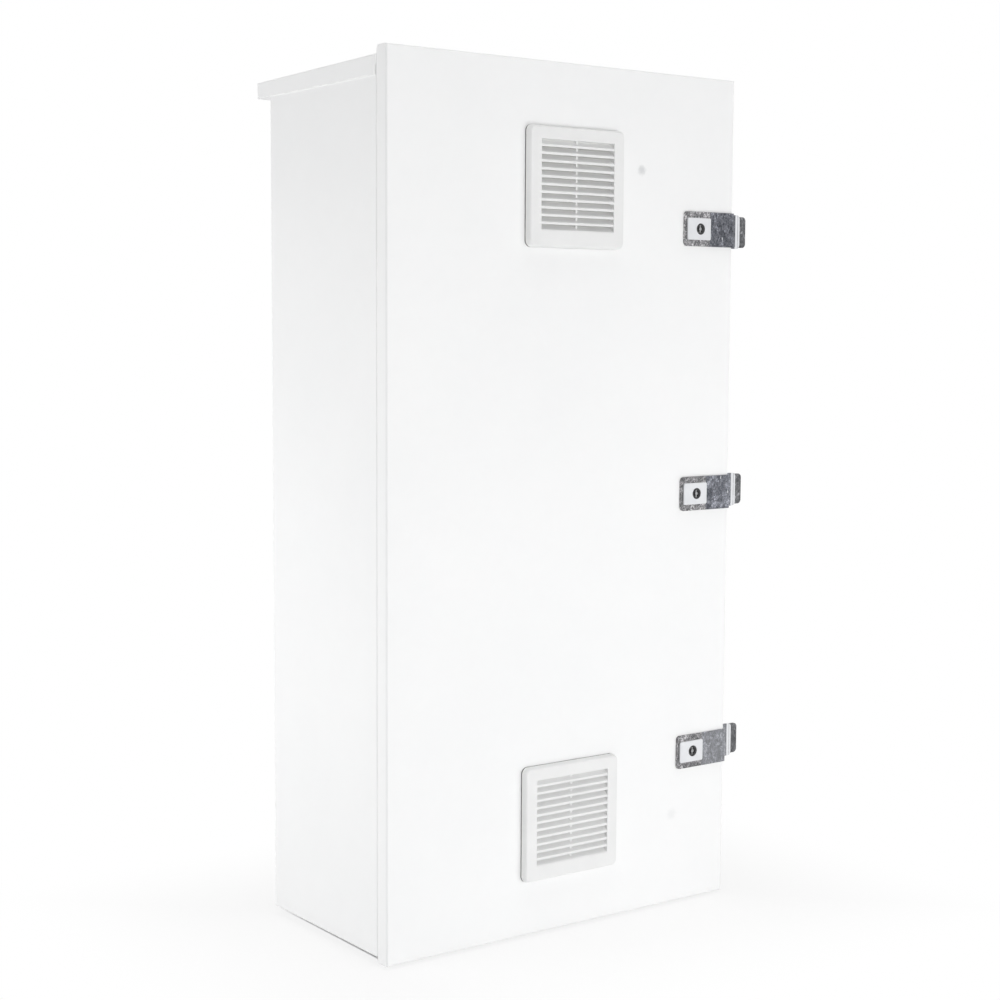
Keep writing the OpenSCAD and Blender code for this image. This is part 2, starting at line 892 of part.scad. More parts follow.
// Slotted hat section welded inside the door
module door_rail(x) {
    base = door_in_y + sheet / 2;
    crest = base + rail_d - sheet;
    flange = rail_half + rail_foot;
    line = [
        [x - flange, base], [x - rail_half, base], [x - rail_half, crest],
        [x + rail_half, crest], [x + rail_half, base], [x + flange, base]
    ];
    slots = floor((rail_z1 - rail_z0 - rail_slot_pitch) / rail_slot_pitch);
    color(zinc) difference() {
        translate([0, 0, rail_z0]) linear_extrude(rail_z1 - rail_z0) folded_sheet(line, sheet, bend);
        for (i = [0 : slots])
            translate([x - rail_slot_w / 2, crest - 2 * sheet, rail_z0 + (i + 0.5) * rail_slot_pitch])
                cube([rail_slot_w, 4 * sheet, rail_slot_h]);
    }
}

module door_rail_left() {
    door_rail(-rail_x);
}

module door_rail_right() {
    door_rail(rail_x);
}

// Vents

// Moulded bezel with rounded front edges
module grille_bezel() {
    face_w = vent_w - 2 * vent_taper;
    face_h = vent_h - 2 * vent_taper;
    step_y = vent_base_y - vent_foot;
    $fn = 32;
    hull() {
        slab_y(step_y, vent_base_y) rounded_rect(vent_w, vent_h, vent_r);
        slab_y(vent_face_y + vent_edge, step_y) rounded_rect(face_w, face_h, vent_r - vent_taper);
        slab_y(vent_face_y + vent_edge / 4, step_y)
            rounded_rect(face_w - vent_edge, face_h - vent_edge, vent_r - vent_edge);
        slab_y(vent_face_y, step_y)
            rounded_rect(face_w - 2 * vent_edge, face_h - 2 * vent_edge, vent_r - 2 * vent_edge);
    }
}

// Sloping rain louvres, cut to the window
module louvre_blades() {
    pitch = window_h / (slot_count - slot_cut);
    y0 = vent_face_y + blade_setback;
    y1 = y0 + blade_depth;
    intersection() {
        translate([-window_w / 2, vent_face_y, window_up - window_h / 2])
            cube([window_w, vent_t + vent_seal_t, window_h]);
        union() {
            for (i = [0 : slot_count - 1]) {
                z = window_up - window_h / 2 + i * pitch - sill_drop - lip_h / 2;
                slab_x(-window_w / 2, window_w / 2) polygon([
                    [y0, z], [y1, z + blade_rise], [y1, z + blade_rise + lip_h], [y0, z + lip_h]
                ]);
            }
        }
    }
}

module vent_grille(i) {
    hollow_w = vent_w - 2 * (vent_taper + vent_wall);
    hollow_h = vent_h - 2 * (vent_taper + vent_wall);
    color(plastic) translate([vent_x, 0, vent_z[i]]) {
        difference() {
            union() {
                difference() {
                    grille_bezel();
                    slab_y(vent_face_y + vent_wall, vent_base_y + through)
                        rounded_rect(hollow_w, hollow_h, vent_r / 2);
                }
                translate([0, 0, window_up]) slab_y(vent_face_y + vent_wall / 2, behind(spigot_end))
                    rounded_rect(spigot_w, spigot_h, spigot_r);
                for (x = ends, z = ends)
                    translate([x * boss_x, 0, z * boss_z])
                        rod_y(boss_r, vent_face_y + vent_wall / 2, vent_base_y);
            }
            translate([0, 0, window_up]) slab_y(vent_face_y - through, behind(spigot_end) + through)
                square([window_w, window_h], center = true);
            for (x = ends, z = ends)
                translate([x * boss_x, 0, z * boss_z])
                    rod_y(vent_screw_r + slack, vent_face_y + vent_wall, vent_base_y + through);
        }
        louvre_blades();
        translate([-rib_w / 2, vent_face_y + rib_setback, window_up - window_h / 2])
            cube([rib_w, blade_depth + blade_setback - rib_setback, window_h]);
    }
}

module vent_grille_upper() {
    vent_grille(0);
}

module vent_grille_lower() {
    vent_grille(1);
}

module vent_gasket(i) {
    color(rubber) difference() {
        translate([vent_x, 0, vent_z[i]]) slab_y(vent_base_y, door_y) difference() {
            rounded_rect(vent_w, vent_h, vent_r);
            translate([0, window_up])
                rounded_rect(spigot_w + 2 * cutout_gap, spigot_h + 2 * cutout_gap, spigot_r + cutout_gap);
        }
        at_vent_screws(vent_z[i]) rod_y(vent_screw_r + slack, vent_base_y - through, door_y + through);
    }
}

module vent_gasket_upper() {
    vent_gasket(0);
}

module vent_gasket_lower() {
    vent_gasket(1);
}

module vent_filter(i) {
    color(mat_white) translate([vent_x, 0, vent_z[i] + window_up]) slab_y(behind(mat_front), behind(mat_end))
        square([window_w - 2 * mat_gap, window_h - 2 * mat_gap], center = true);
}

module vent_filter_upper() {
    vent_filter(0);
}

module vent_filter_lower() {
    vent_filter(1);
}

// Rear frame with a collar round the spigot and a grid behind the filter mat
module vent_retainer(i) {
    in_w = spigot_w + 2 * collar_gap;
    in_h = spigot_h + 2 * collar_gap;
    out_w = in_w + 2 * collar_wall;
    out_h = in_h + 2 * collar_wall;
    cell_w = (in_w - retainer_bar_w * (retainer_bars - 1)) / retainer_bars;
    cell_h = (in_h - retainer_bar_w * (retainer_bars - 1)) / retainer_bars;
    color(dark) difference() {
        translate([vent_x, 0, vent_z[i]]) difference() {
            union() {
                slab_y(door_in_y, door_in_y + retainer_t) rounded_rect(retainer_w, retainer_h, vent_r / 2);
                translate([0, 0, window_up]) slab_y(door_in_y, behind(retainer_back + retainer_t))
                    rounded_rect(out_w, out_h, spigot_r);
            }
            translate([0, 0, window_up]) {
                slab_y(door_in_y - through, behind(retainer_back)) square([in_w, in_h], center = true);
                for (a = [0 : retainer_bars - 1], b = [0 : retainer_bars - 1])
                    translate([
                        -in_w / 2 + cell_w / 2 + a * (cell_w + retainer_bar_w), 0,
                        -in_h / 2 + cell_h / 2 + b * (cell_h + retainer_bar_w)
                    ])
                        slab_y(behind(retainer_back - through), behind(retainer_back + retainer_t + through))
                            square([cell_w, cell_h], center = true);
            }
        }
        at_vent_screws(vent_z[i])
            rod_y(vent_screw_r + slack, door_in_y - through, door_in_y + retainer_t + through);
    }
}

module vent_retainer_upper() {
    vent_retainer(0);
}

module vent_retainer_lower() {
    vent_retainer(1);
}

module vent_screws() {
    head_y = door_in_y + retainer_t;
    color(steel) for (z = vent_z) at_vent_screws(z) {
        translate([0, head_y, 0]) rotate([-90, 0, 0]) pan_head(vent_screw_head_r, vent_screw_head_t);
        rod_y(vent_screw_r, vent_face_y + vent_wall + through, head_y);
    }
}

// Latches

// Trims a folded plate to rounded ends in the front view
module rounded_ends(x0, x1, h, z) {
    intersection() {
        children();
        translate([(x0 + x1) / 2, 0, z]) slab_y(door_y - body_d, front_y + body_d)
            rounded_rect(x1 - x0, h, hasp_corner_r);
    }
}

// Strap folded round the door edge, with a tail for the padlock
module hasp(i) {
    face = -hasp_t / 2;
    web = half_w + web_gap + hasp_t / 2;
    tail = tail_depth + hasp_t / 2;
    end = half_w + tail_reach;
    line = [[hasp_x, behind(face)], [web, behind(face)], [web, behind(tail)], [end, behind(tail)]];
    color(zinc) difference() {
        rounded_ends(hasp_x, end, hasp_h, latch_z[i])
            translate([0, 0, latch_z[i] - hasp_h / 2]) linear_extrude(hasp_h)
                folded_sheet(line, hasp_t, hasp_bend);
        translate([lock_x, 0, latch_z[i]])
            rod_y(barrel_r + slack, behind(-hasp_t - through), door_y + through);
        translate([eye_x, 0, latch_z[i]])
            rod_y(eye_r, behind(tail_depth - through), behind(tail_depth + hasp_t + through));
    }
}

module hasp_upper() {
    hasp(0);
}

module hasp_middle() {
    hasp(1);
}

module hasp_lower() {
    hasp(2);
}

// Angle bracket on the body side that the hasp tail meets
module keeper(i) {
    leg = half_w + hasp_t / 2;
    flange = keeper_depth + hasp_t / 2;
    end = half_w + keeper_reach;
    line = [[leg, behind(keeper_depth + keeper_leg)], [leg, behind(flange)], [end, behind(flange)]];
    color(zinc) difference() {
        rounded_ends(half_w - hasp_corner_r * 2, end, keeper_h, latch_z[i])
            translate([0, 0, latch_z[i] - keeper_h / 2]) linear_extrude(keeper_h)
                folded_sheet(line, hasp_t, hasp_bend);
        translate([eye_x, 0, latch_z[i]])
            rod_y(eye_r, behind(keeper_depth - through), behind(keeper_depth + hasp_t + through));
        for (e = ends)
            translate([0, behind(rivet_depth), latch_z[i] + e * rivet_dz])
                rod_x(rivet_r + slack, half_w - through, half_w + hasp_t + through);
    }
}

module keeper_upper() {
    keeper(0);
}

module keeper_middle() {
    keeper(1);
}

module keeper_lower() {
    keeper(2);
}

// Blind rivets with domed heads outside and upset tails inside
module keeper_rivets() {
    seat = half_w + hasp_t;
    color(steel) for (z = latch_z, e = ends)
        translate([0, behind(rivet_depth), z + e * rivet_dz]) {
            rod_x(rivet_r, inner_x - rivet_head_t, seat);
            translate([seat, 0, 0]) rotate([0, 90, 0]) dome(rivet_head_r, rivet_head_t);
            rod_x(rivet_tail_r, inner_x - rivet_head_t, inner_x);
        }
}

// Lock body with a rectangular plaque over the hasp and a threaded barrel through the door
module lock_housing(i) {
    color(escutcheon) difference() {
        union() {
            translate([plaque_x, 0, latch_z[i]]) slab_y(behind(plaque_front), behind(-hasp_t))
                rounded_rect(plaque_w, plaque_h, plaque_r);
            translate([lock_x, 0, latch_z[i]]) rod_y(barrel_r, behind(-hasp_t), behind(barrel_end));
        }
        translate([lock_x, 0, latch_z[i]]) {
            rod_y(core_r + slack, behind(plaque_front - through), behind(core_step));
            rod_y(core_tail_r + slack, behind(core_step - through), behind(barrel_end + through));
        }
    }
}

module lock_housing_upper() {
    lock_housing(0);
}

module lock_housing_middle() {
    lock_housing(1);
}

module lock_housing_lower() {
    lock_housing(2);
}

module lock_nuts() {
    color(zinc) for (z = latch_z)
        translate([lock_x, door_in_y + lock_nut_t, z]) rotate([90, 0, 0])
            hex_nut(lock_nut_r, lock_nut_t, barrel_r + slack);
}

// Turning core with a key socket: a centre pin with two bits
module lock_core(i) {
    socket_floor = core_front + key_depth;
    core_end = core_step - core_end_gap;
    tap_end = cam_depth - cam_screw_len - through;
    color(dark) translate([lock_x, 0, latch_z[i]]) {
        difference() {
            union() {
                rod_y(core_r, behind(core_front), behind(core_end));
                rod_y(core_tail_r, behind(core_end), behind(cam_depth));
                slab_y(behind(cam_depth), behind(cam_depth + cam_t)) square(shank_w, center = true);
            }
            rod_y(key_r, behind(core_front - through), behind(socket_floor));
            rod_y(cam_screw_r + slack, behind(tap_end), behind(cam_depth + cam_t + through));
        }
        rod_y(key_pin_r, behind(core_front + key_pin_recess), behind(socket_floor + through));
        slab_y(behind(core_front + key_bit_recess), behind(socket_floor + through))
            square([key_bit_w, 2 * key_r + through], center = true);
    }
}

module lock_core_upper() {
    lock_core(0);
}

module lock_core_middle() {
    lock_core(1);
}

module lock_core_lower() {
    lock_core(2);
}

// Cam hanging down while unlocked; a quarter turn carries it behind the body shoulder
module lock_cam(i) {
    bar = cam_reach - cam_w / 2;
    color(zinc) translate([lock_x, 0, latch_z[i]]) slab_y(behind(cam_depth), behind(cam_depth + cam_t))
        difference() {
            union() {
                circle(cam_hub_r);
                translate([-cam_w / 2, -bar]) square([cam_w, bar]);
                translate([0, -bar]) circle(cam_w / 2);
            }
            square(shank_w + 2 * slack, center = true);
        }
}

module lock_cam_upper() {
    lock_cam(0);
}

module lock_cam_middle() {
    lock_cam(1);
}

module lock_cam_lower() {
    lock_cam(2);
}

module cam_screw(i) {
    seat = cam_depth + cam_t;
    color(steel) translate([lock_x, 0, latch_z[i]]) {
        rod_y(cam_screw_r, behind(cam_depth - cam_screw_len), behind(seat));
        translate([0, behind(seat), 0]) rotate([-90, 0, 0]) hex_block(cam_screw_head_r, cam_screw_head_t);
    }
}

module cam_screw_upper() {
    cam_screw(0);
}

module cam_screw_middle() {
    cam_screw(1);
}

module cam_screw_lower() {
    cam_screw(2);
}

body_shell();
top_panel();
floor_pan();
roof_cap();
roof_spacers();
roof_nuts();
foot_bar_front();
foot_bar_rear();
foot_bolts();
gland_plate();
gland_gasket();
gland_screws();
cable_grommets();
mounting_plate();
mounting_studs();
mounting_nuts();
earth_stud();
earth_nut();
hinge_arm_upper();
hinge_arm_middle();
hinge_arm_lower();
hinge_screws();
keeper_upper();
keeper_middle();
keeper_lower();
keeper_rivets();
door_panel();
door_gasket();
door_rail_left();
door_rail_right();
hinge_bracket_upper();
hinge_bracket_middle();
hinge_bracket_lower();
hinge_pins();
vent_grille_upper();
vent_grille_lower();
vent_gasket_upper();
vent_gasket_lower();
vent_filter_upper();
vent_filter_lower();
vent_retainer_upper();
vent_retainer_lower();
vent_screws();
hasp_upper();
hasp_middle();
hasp_lower();
lock_housing_upper();
lock_housing_middle();
lock_housing_lower();
lock_nuts();
lock_core_upper();
lock_core_middle();
lock_core_lower();
lock_cam_upper();
lock_cam_middle();
lock_cam_lower();
cam_screw_upper();
cam_screw_middle();
cam_screw_lower();
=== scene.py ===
import json

import bpy
from mathutils import Matrix, Vector


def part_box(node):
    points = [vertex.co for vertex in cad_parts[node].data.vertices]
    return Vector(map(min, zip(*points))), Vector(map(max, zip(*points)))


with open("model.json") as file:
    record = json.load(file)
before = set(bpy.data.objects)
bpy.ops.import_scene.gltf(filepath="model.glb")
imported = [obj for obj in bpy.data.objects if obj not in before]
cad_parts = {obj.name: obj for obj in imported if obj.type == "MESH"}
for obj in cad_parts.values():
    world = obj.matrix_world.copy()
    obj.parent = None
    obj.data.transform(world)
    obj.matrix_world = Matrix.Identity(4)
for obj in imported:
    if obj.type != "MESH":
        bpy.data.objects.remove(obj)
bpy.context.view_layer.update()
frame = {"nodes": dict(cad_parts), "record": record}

# Lengths are in metres, and texture scales are per metre.
X, Y, Z = 0, 1, 2
WHITE = (1.0, 1.0, 1.0, 1.0)
# Most of a noise texture's values lie in this range.
CLOUDY = (0.3, 0.7)

# Camera: place, axes and lens were fitted to the corners of the door, the body and the roof in the photograph.
# The shift is small, because the other views keep it.
CAMERA_PLACE = (-1.5797, -2.1247, 0.8370)
CAMERA_RIGHT = Vector((0.81857, -0.57440, 0.00256))
CAMERA_DOWN = Vector((-0.05321, -0.08026, -0.99535))
CAMERA_AHEAD = Vector((0.57193, 0.81463, -0.09626))
CAMERA_LENS = 65.893
CAMERA_SENSOR = 36.0
CAMERA_SHIFT = (0.05, 0.01)
CAMERA_FAR = 60.0

DOOR_LOW, DOOR_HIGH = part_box("door_panel")
BODY_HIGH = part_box("body_shell")[1]
SKIRT_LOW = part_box("roof_cap")[0]

# The two faint grey marks on the door's face: x, z, radius and strength.
DOOR_MARKS = ((0.126, 1.0636, 0.0070, 0.58), (0.198, 0.1354, 0.0085, 0.16))
MARK_RIM = 0.0016
MARK_TONE = (0.52, 0.53, 0.54)

# The straps are paler round the lock plaques, up to this x, and carry a painted highlight from the tail's fold on.
STRAP_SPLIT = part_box("lock_housing_upper")[1].x
TAIL_FOLD = DOOR_HIGH.x + 0.0262
TAIL_CREASE = DOOR_HIGH.x + 0.0322

# Axis of the lowest lock, the step between the three locks, and the radius of their key sockets.
LOCK_MIDDLES = [
    (low + high) / 2.0 for low, high in (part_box("lock_core_lower"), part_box("lock_core_middle"))
]
LOCK_X, LOCK_LOW = LOCK_MIDDLES[0].x, LOCK_MIDDLES[0].z
LOCK_STEP = LOCK_MIDDLES[1].z - LOCK_LOW
KEY_SOCKET = 0.0055


class Tree:
    """A material's node tree, with short ways to add nodes and join them."""

    def __init__(self, name):
        self.material = bpy.data.materials.new(name)
        self.material.use_nodes = True
        self.nodes = self.material.node_tree.nodes
        self.links = self.material.node_tree.links
        self.shader = self.nodes["Principled BSDF"]
        self.place = self.add("ShaderNodeTexCoord").outputs["Object"]

    def add(self, kind, **inputs):
        node = self.nodes.new(kind)
        for key, value in inputs.items():
            self.put(node.inputs[key], value)
        return node

    def put(self, socket, value):
        if isinstance(value, bpy.types.NodeSocket):
            self.links.new(value, socket)
        else:
            socket.default_value = value

    def math(self, operation, a, b=0.0):
        node = self.nodes.new("ShaderNodeMath")
        node.operation = operation
        self.put(node.inputs[0], a)
        self.put(node.inputs[1], b)
        return node.outputs[0]

    def scaled(self, vector, scale):
        node = self.add("ShaderNodeMapping", Vector=vector)
        node.inputs["Scale"].default_value = scale
        return node.outputs[0]

    def noise(self, scale, detail=2.0, roughness=0.5, vector=None):
        node = self.add(
            "ShaderNodeTexNoise",
            Vector=vector or self.place,
            Scale=scale,
            Detail=detail,
            Roughness=roughness,
        )
        return node.outputs

    def cells(self, scale, vector=None):
        return self.add("ShaderNodeTexVoronoi", Vector=vector or self.place, Scale=scale).outputs

    def channels(self, colour):
        return self.add("ShaderNodeSeparateColor", Color=colour).outputs

    def ramp(self, factor, *stops):
        node = self.add("ShaderNodeValToRGB", Fac=factor)
        points = node.color_ramp.elements
        while len(points) < len(stops):
            points.new(0.5)
        for point, (at, colour) in zip(points, stops):
            point.position = at
            point.color = (*colour, 1.0)
        return node.outputs["Color"]

    def spread(self, value, start, end=(0.0, 1.0), smooth=False):
        """Takes the range start to the range end, and holds the value at the ends."""
        node = self.nodes.new("ShaderNodeMapRange")
        node.interpolation_type = "SMOOTHSTEP" if smooth else "LINEAR"
        self.put(node.inputs["Value"], value)
        for key, number in zip(("From Min", "From Max", "To Min", "To Max"), (*start, *end)):
            node.inputs[key].default_value = number
        return node.outputs[0]

    def mix(self, factor, a, b, blend="MIX"):
        node = self.nodes.new("ShaderNodeMix")
        node.data_type = "RGBA"
        node.blend_type = blend
        self.put(node.inputs[0], factor)
        for socket, value in ((node.inputs[6], a), (node.inputs[7], b)):
            self.put(socket, (*value, 1.0) if isinstance(value, tuple) else value)
        return node.outputs[2]

    def bump(self, height, strength, distance, under=None):
        node = self.add("ShaderNodeBump", Height=height, Strength=strength, Distance=distance)
        if under is not None:
            self.put(node.inputs["Normal"], under)
        return node.outputs[0]

    def soft_edges(self, radius):
        node = self.nodes.new("ShaderNodeBevel")
        node.samples = 6
        node.inputs["Radius"].default_value = radius
        return node.outputs[0]

    def axes(self):
        return self.add("ShaderNodeSeparateXYZ", Vector=self.place).outputs

    def near(self, point, radius, rim):
        """1 at a point of the CAD frame, falling softly to 0 at a radius, with an uneven rim."""
        node = self.nodes.new("ShaderNodeVectorMath")
        node.operation = "DISTANCE"
        self.put(node.inputs[0], self.place)
        node.inputs[1].default_value = point
        grain = self.noise(scale=260.0, detail=3.0)["Fac"]
        uneven = self.math("ADD", node.outputs["Value"], self.spread(grain, CLOUDY, (-rim, rim)))
        return self.spread(uneven, (radius * 0.25, radius * 1.35), (1.0, 0.0), smooth=True)

    def set(self, **inputs):
        for key, value in inputs.items():
            self.put(self.shader.inputs[key.replace("_", " ")], value)
        return self.material


def white_paint(name, marks=(), bands=()):
    """Satin powder coat: a fine orange peel, slight clouds of tone and gloss, painted shade and highlights along
    folds.

    A band is its limits (axis, where it starts, where it is full), its share, its colour and whether it is patchy.
    """
    t = Tree(name)
    dull_white, bright_white, speck = (0.862, 0.866, 0.868), (0.888, 0.890, 0.890), (0.74, 0.75, 0.76)
    clouds = t.noise(scale=3.5, detail=4.0, roughness=0.55)["Fac"]
    fine = t.noise(scale=55.0, detail=3.0, roughness=0.6)["Fac"]
    tone = t.mix(t.spread(clouds, CLOUDY), dull_white, bright_white)
    tone = t.mix(t.spread(fine, (0.35, 0.75), (0.0, 0.05)), tone, speck)
    axes = t.axes()
    # Each band mixes its painted shade or painted highlight into the tone.
    for limits, share, colour, patchy in bands:
        inside = share
        for axis, start, full in limits:
            inside = t.math("MULTIPLY", inside, t.spread(axes[axis], (start, full), smooth=True))
        if patchy:
            patches = t.noise(scale=38.0, detail=3.0, roughness=0.6)["Fac"]
            inside = t.math("MULTIPLY", inside, t.spread(patches, (0.46, 0.58), smooth=True))
        tone = t.mix(inside, tone, colour)
    outer_skin = (DOOR_LOW.y + 0.0004, DOOR_LOW.y + 0.0010)
    # Faint grey marks on the door's outer face.
    for x, z, radius, share in marks:
        grey_mark = t.near((x, DOOR_LOW.y, z), radius, MARK_RIM)
        outside = t.spread(axes[Y], outer_skin, (share, 0.0))
        tone = t.mix(t.math("MULTIPLY", grey_mark, outside), tone, MARK_TONE)
    peel = t.noise(scale=820.0)["Fac"]
    waves = t.noise(scale=190.0)["Fac"]
    height = t.math("ADD", peel, t.math("MULTIPLY", waves, 1.4))
    return t.set(
        Base_Color=tone,
        Roughness=t.spread(clouds, (0.25, 0.75), (0.36, 0.46)),
        Normal=t.bump(height, strength=0.10, distance=0.00025, under=t.soft_edges(0.0007)),
        Specular_IOR_Level=0.45,
    )


def strap_tones_and_painted_light(t, tone, place):
    """The straps: painted glints, a painted reflection paler low down, paler metal round the plaques, and painted
    highlit tails.
    """
    axes = t.axes()
    painted_glint_tone, painted_even_low_tone, tail_highlight_tone = (0.70, 0.71, 0.74), (0.265, 0.268, 0.272), (0.86, 0.87, 0.89)
    warm_tint = (1.04, 0.99, 0.90)
    # Painted reflection: the straps are paler towards the lowest lock.
    paler = t.spread(axes[Z], (LOCK_LOW, LOCK_LOW + 2.0 * LOCK_STEP), (1.85, 1.0))
    plate = t.mix(1.0, tone, paler, "MULTIPLY")
    dashes = t.cells(200.0, t.scaled(place, (1.0, 1.0, 0.34)))
    # Painted glints: bright flecks of highlight in the straps' colour.
    painted_glint = t.math(
        "MULTIPLY",
        t.spread(dashes["Distance"], (0.12, 0.25), (1.0, 0.0), smooth=True),
        t.spread(t.channels(dashes["Color"])[0], (0.62, 0.70), (0.0, 0.95)),
    )
    plate = t.mix(painted_glint, plate, painted_glint_tone)
    # Painted reflection: the lowest strap turns a more even grey.
    painted_even_low = t.spread(axes[Z], (LOCK_LOW, LOCK_LOW + 0.8 * LOCK_STEP), (0.55, 0.0))
    plate = t.mix(painted_even_low, plate, painted_even_low_tone)
    speckle = t.spread(t.noise(scale=620.0, roughness=0.7)["Fac"], (0.36, 0.64), (0.75, 2.85))
    # Round the plaques the straps are paler, speckled and a little warmer.
    pale_speckled = t.mix(1.0, t.mix(1.0, tone, speckle, "MULTIPLY"), warm_tint, "MULTIPLY")
    split = (STRAP_SPLIT - 0.001, STRAP_SPLIT + 0.001)
    tone = t.mix(t.spread(axes[X], split, (1.0, 0.0), smooth=True), plate, pale_speckled)
    # Painted highlight: the tails are bright from their fold on, less so along a crease line.
    tail_highlight = t.math(
        "MULTIPLY",
        t.spread(axes[Y], (DOOR_LOW.y + 0.012, DOOR_LOW.y + 0.019), (0.0, 0.92), smooth=True),
        t.spread(axes[X], (TAIL_FOLD, TAIL_FOLD + 0.0022), smooth=True),
    )
    crease = t.math("ABSOLUTE", t.math("SUBTRACT", axes[X], TAIL_CREASE))
    tail_highlight = t.math("MULTIPLY", tail_highlight, t.spread(crease, (0.0003, 0.0009), (0.45, 1.0), smooth=True))
    return t.mix(tail_highlight, tone, tail_highlight_tone)


def galvanised(name, dark, light, strap=False):
    """Hot-dip zinc: spangle crystals of different tone and tilt, with bright flecks and dull bloom."""
    t = Tree(name)
    push = t.nodes.new("ShaderNodeVectorMath")
    push.operation = "MULTIPLY_ADD"
    t.put(push.inputs[0], t.noise(scale=190.0, detail=3.0, roughness=0.6)["Color"])
    push.inputs[1].default_value = (0.0035, 0.0035, 0.0035)
    t.put(push.inputs[2], t.place)
    place = push.outputs[0]
    crystals = t.channels(t.cells(300.0, t.scaled(place, (1.0, 1.0, 0.62)))["Color"])
    grains = t.channels(t.cells(900.0, t.scaled(place, (1.0, 1.0, 0.7)))["Color"])
    level = t.math("ADD", t.math("MULTIPLY", crystals[0], 0.5), t.math("MULTIPLY", grains[1], 0.5))
    bloom = t.noise(scale=46.0, detail=4.0, roughness=0.6)["Fac"]
    level = t.math("ADD", level, t.spread(bloom, CLOUDY, (-0.14, 0.14)))
    middle = tuple(a * 0.55 + b * 0.45 for a, b in zip(dark, light))
    flecks = tuple(min(1.0, 2.0 * b) for b in light)
    tone = t.ramp(level, (0.12, dark), (0.50, middle), (0.80, light), (0.98, flecks))
    if strap:
        tone = strap_tones_and_painted_light(t, tone, place)
    tilt = t.math("ADD", crystals[1], t.math("MULTIPLY", grains[2], 0.5))
    return t.set(
        Base_Color=tone,
        Metallic=0.9,
        Roughness=t.spread(crystals[2], (0.0, 1.0), (0.28, 0.44)),
        Normal=t.bump(tilt, strength=0.10, distance=0.0003, under=t.soft_edges(0.0006)),
    )


def plated_steel():
    """Zinc-plated fasteners: a faint cloudy passivation and turning marks."""
    t = Tree("plated_steel")
    dull, bright = (0.46, 0.47, 0.49), (0.66, 0.66, 0.65)
    clouds = t.noise(scale=180.0, detail=4.0, roughness=0.6)["Fac"]
    marks = t.noise(scale=2600.0, detail=1.0)["Fac"]
    return t.set(
        Base_Color=t.mix(t.spread(clouds, CLOUDY), dull, bright),
        Metallic=0.95,
        Roughness=t.spread(clouds, CLOUDY, (0.24, 0.38)),
        Normal=t.bump(marks, strength=0.08, distance=0.0001, under=t.soft_edges(0.0004)),
    )


def black_rubber():
    """Foam and rubber seals: matt, with fine pores and some dust."""
    t = Tree("black_rubber")
    clean, dusty = (0.022, 0.022, 0.024), (0.075, 0.075, 0.074)
    pores = t.cells(900.0)["Distance"]
    dust = t.noise(scale=40.0, detail=4.0, roughness=0.65)["Fac"]
    return t.set(
        Base_Color=t.mix(t.spread(dust, (0.45, 0.75), (0.0, 0.5)), clean, dusty),
        Roughness=t.spread(dust, CLOUDY, (0.68, 0.86)),
        Normal=t.bump(pores, strength=0.35, distance=0.0003),
        Specular_IOR_Level=0.3,
    )


def grille_plastic():
    """Off-white moulded plastic: a spark-eroded texture, and a paler, yellower tone in the deep parts that is
    painted light.
    """
    t = Tree("grille_plastic")
    dull, bright, deep = (0.775, 0.777, 0.776), (0.805, 0.807, 0.805), (0.965, 0.968, 0.925)
    clouds = t.noise(scale=22.0, detail=4.0, roughness=0.55)["Fac"]
    tone = t.mix(t.spread(clouds, CLOUDY), dull, bright)
    # Painted light: the deep parts are paler and yellower, lifting their shade.
    painted_light_depth = t.spread(t.axes()[Y], (DOOR_LOW.y - 0.0075, DOOR_LOW.y + 0.008), smooth=True)
    grain = t.noise(scale=1500.0, roughness=0.6)["Fac"]
    return t.set(
        Base_Color=t.mix(painted_light_depth, tone, deep),
        Roughness=t.spread(clouds, CLOUDY, (0.44, 0.54)),
        Normal=t.bump(grain, strength=0.10, distance=0.0002, under=t.soft_edges(0.0006)),
        Specular_IOR_Level=0.4,
    )


def lock_plaque():
    """Pale grey moulded lock body with a faint lustre."""
    t = Tree("lock_plaque")
    dull, bright = (0.700, 0.710, 0.735), (0.745, 0.755, 0.775)
    clouds = t.noise(scale=70.0, detail=4.0, roughness=0.6)["Fac"]
    grain = t.noise(scale=1700.0)["Fac"]
    return t.set(
        Base_Color=t.mix(t.spread(clouds, CLOUDY), dull, bright),
        Roughness=t.spread(clouds, CLOUDY, (0.36, 0.48)),
        Normal=t.bump(grain, strength=0.08, distance=0.0002, under=t.soft_edges(0.0005)),
    )


def lock_black():
    """Black coated die casting, rubbed to metal in places, with a bare metal key socket."""
    t = Tree("lock_black")
    coat, bare = (0.018, 0.018, 0.020), (0.34, 0.35, 0.36)
    socket_dull, socket_bright = (0.26, 0.265, 0.27), (0.62, 0.63, 0.64)
    grain = t.noise(scale=900.0, detail=3.0, roughness=0.6)["Fac"]
    wear = t.noise(scale=420.0, detail=4.0, roughness=0.7)["Fac"]
    rubbed = t.spread(wear, (0.56, 0.70), (0.0, 0.65), smooth=True)
    axes = t.axes()
    across = t.math("SUBTRACT", axes[X], LOCK_X)
    turns = t.math("MODULO", t.math("SUBTRACT", axes[Z], LOCK_LOW - LOCK_STEP / 2.0), LOCK_STEP)
    along = t.math("SUBTRACT", turns, LOCK_STEP / 2.0)
    squares = t.math("ADD", t.math("MULTIPLY", across, across), t.math("MULTIPLY", along, along))
    rim = (KEY_SOCKET - 0.0004, KEY_SOCKET + 0.0002)
    socket = t.spread(t.math("SQRT", squares), rim, (0.9, 0.0), smooth=True)
    socket_tone = t.mix(t.spread(wear, (0.35, 0.65)), socket_dull, socket_bright)
    return t.set(
        Base_Color=t.mix(socket, t.mix(rubbed, coat, bare), socket_tone),
        Metallic=t.math("MAXIMUM", t.math("MULTIPLY", rubbed, 0.9), socket),
        Roughness=t.spread(grain, CLOUDY, (0.28, 0.44)),
        Normal=t.bump(grain, strength=0.15, distance=0.0002, under=t.soft_edges(0.0005)),
    )


